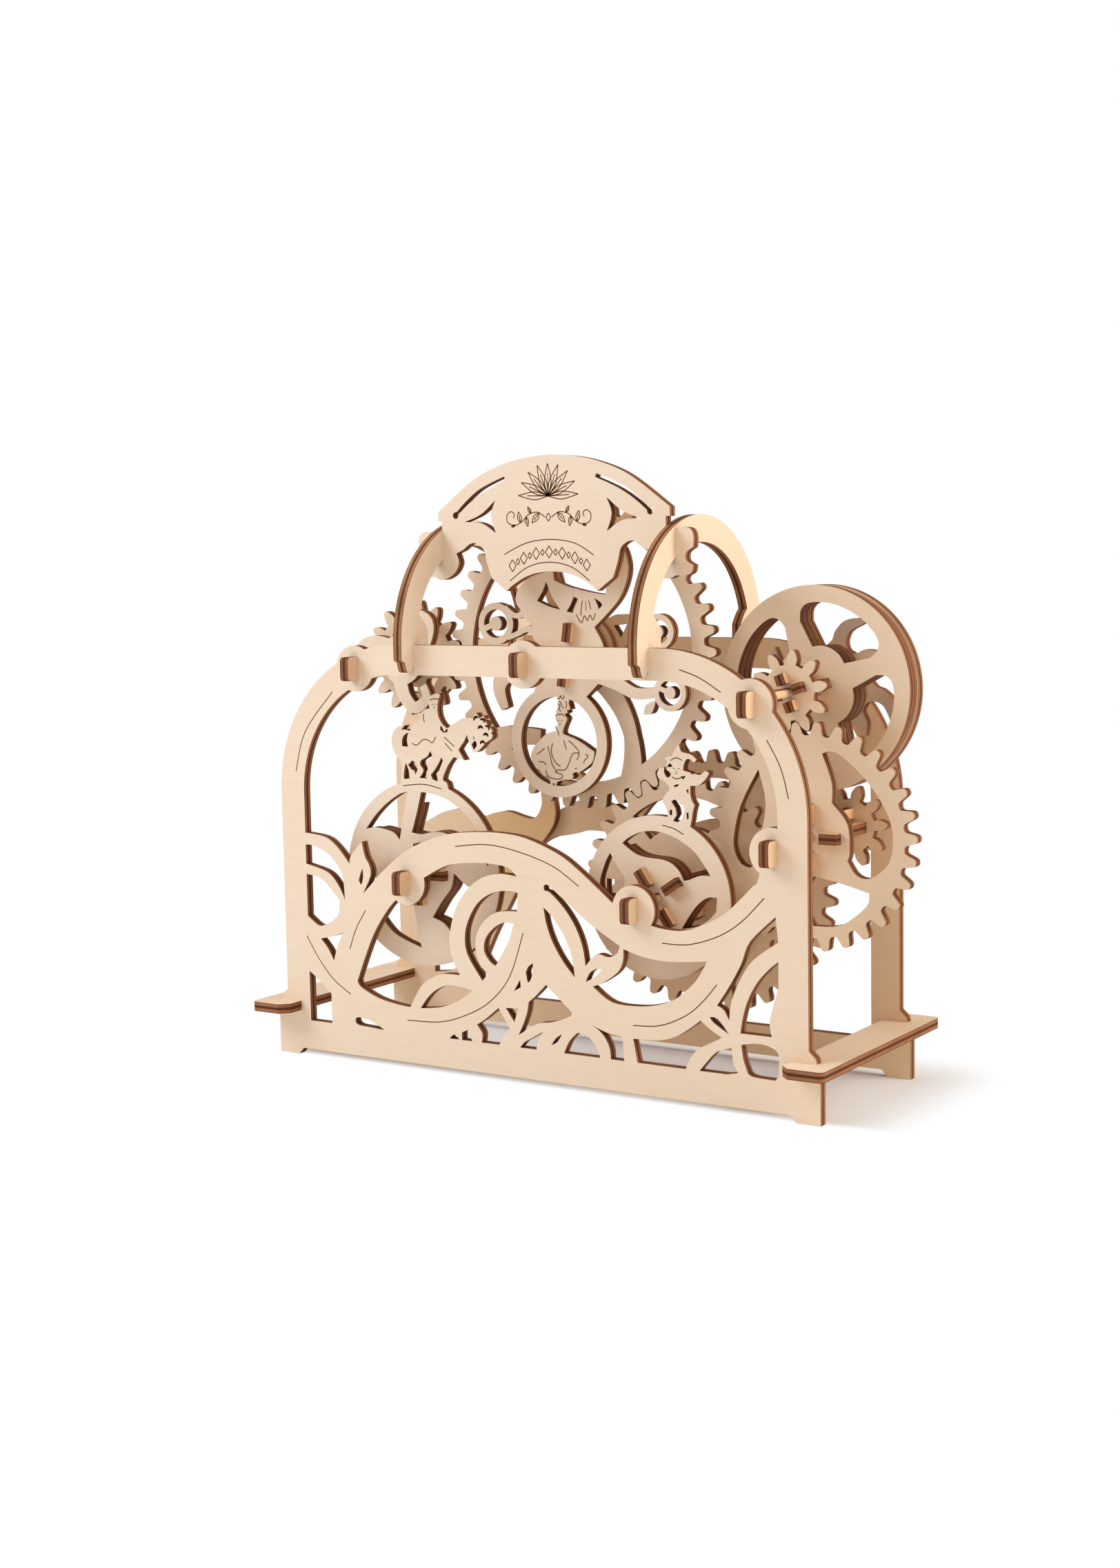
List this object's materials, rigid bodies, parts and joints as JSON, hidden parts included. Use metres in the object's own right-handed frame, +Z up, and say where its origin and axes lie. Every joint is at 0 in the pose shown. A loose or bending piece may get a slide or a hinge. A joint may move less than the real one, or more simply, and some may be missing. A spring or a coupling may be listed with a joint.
{
  "type": "mechanical puzzle theatre",
  "caption": "Laser-cut plywood mechanical theatre: arched frame with meshing gears, turning figure wheels, a flywheel and a sign held by two hoops.",
  "frame": {"origin": "bottom centre of the bounding box, on the surface the feet stand on", "axes": "+X to the right seen from the front, +Y to the back, +Z up; the front panel faces -Y"},
  "size_m": [0.2281, 0.0848, 0.1985],
  "materials": {
    "panel_birch": "matte",
    "gear_birch": "matte",
    "axle_birch": "matte"
  },
  "bodies": {
    "frame": {"front_panel": "panel_birch", "rear_panel": "panel_birch", "rear_wave": "panel_birch", "left_slat": "panel_birch", "right_slat": "panel_birch", "left_hoop": "panel_birch", "right_hoop": "panel_birch", "sign_plate": "panel_birch", "carousel_axle": "axle_birch", "jester_axle": "axle_birch", "rider_axle": "axle_birch", "drive_axle": "axle_birch", "flywheel_axle": "axle_birch", "corner_axle": "axle_birch"},
    "carousel": {"big_gear": "gear_birch", "carousel_front": "panel_birch", "carousel_rear": "panel_birch", "carousel_keys": "axle_birch"},
    "rider": {"rider_wheel": "panel_birch", "rider_spokes": "panel_birch", "rider_keys": "axle_birch"},
    "jester": {"jester_wheel": "panel_birch", "jester_spokes": "panel_birch", "transfer_gear": "gear_birch", "jester_gear": "gear_birch", "jester_keys": "axle_birch"},
    "drive": {"drive_gear": "gear_birch", "drive_pinion": "gear_birch", "drive_keys": "axle_birch"},
    "flywheel": {"flywheel_pinion": "gear_birch", "flywheel_front_ring": "panel_birch", "flywheel_middle_ring": "panel_birch", "flywheel_rear_ring": "panel_birch", "sun_wheel": "panel_birch", "flywheel_keys": "axle_birch"},
    "corner": {"corner_gear": "gear_birch", "corner_scroll": "panel_birch"}
  },
  "joints": [
    {"name": "carousel_turn", "type": "hinge", "parent": "frame", "child": "carousel", "pos_m": [-0.00705, 0, 0.13515], "axis": [0, 1, 0], "continuous": true},
    {"name": "rider_turn", "type": "hinge", "parent": "frame", "child": "rider", "pos_m": [-0.05435, 0, 0.0636], "axis": [0, 1, 0], "continuous": true},
    {"name": "jester_turn", "type": "hinge", "parent": "frame", "child": "jester", "pos_m": [0.03165, 0, 0.06105], "axis": [0, 1, 0], "continuous": true},
    {"name": "drive_turn", "type": "hinge", "parent": "frame", "child": "drive", "pos_m": [0.07915, 0, 0.08146], "axis": [0, 1, 0], "continuous": true},
    {"name": "flywheel_turn", "type": "hinge", "parent": "frame", "child": "flywheel", "pos_m": [0.07225, 0, 0.12491], "axis": [0, 1, 0], "continuous": true},
    {"name": "corner_turn", "type": "hinge", "parent": "frame", "child": "corner", "pos_m": [-0.07301, 0, 0.13285], "axis": [0, 1, 0], "continuous": true}
  ],
  "couplings": [
    {"joint": "jester_turn", "follows": "carousel_turn", "ratio": -1.375},
    {"joint": "drive_turn", "follows": "carousel_turn", "ratio": 5.0875},
    {"joint": "flywheel_turn", "follows": "carousel_turn", "ratio": -15.262},
    {"joint": "corner_turn", "follows": "carousel_turn", "ratio": -2.75}
  ]
}
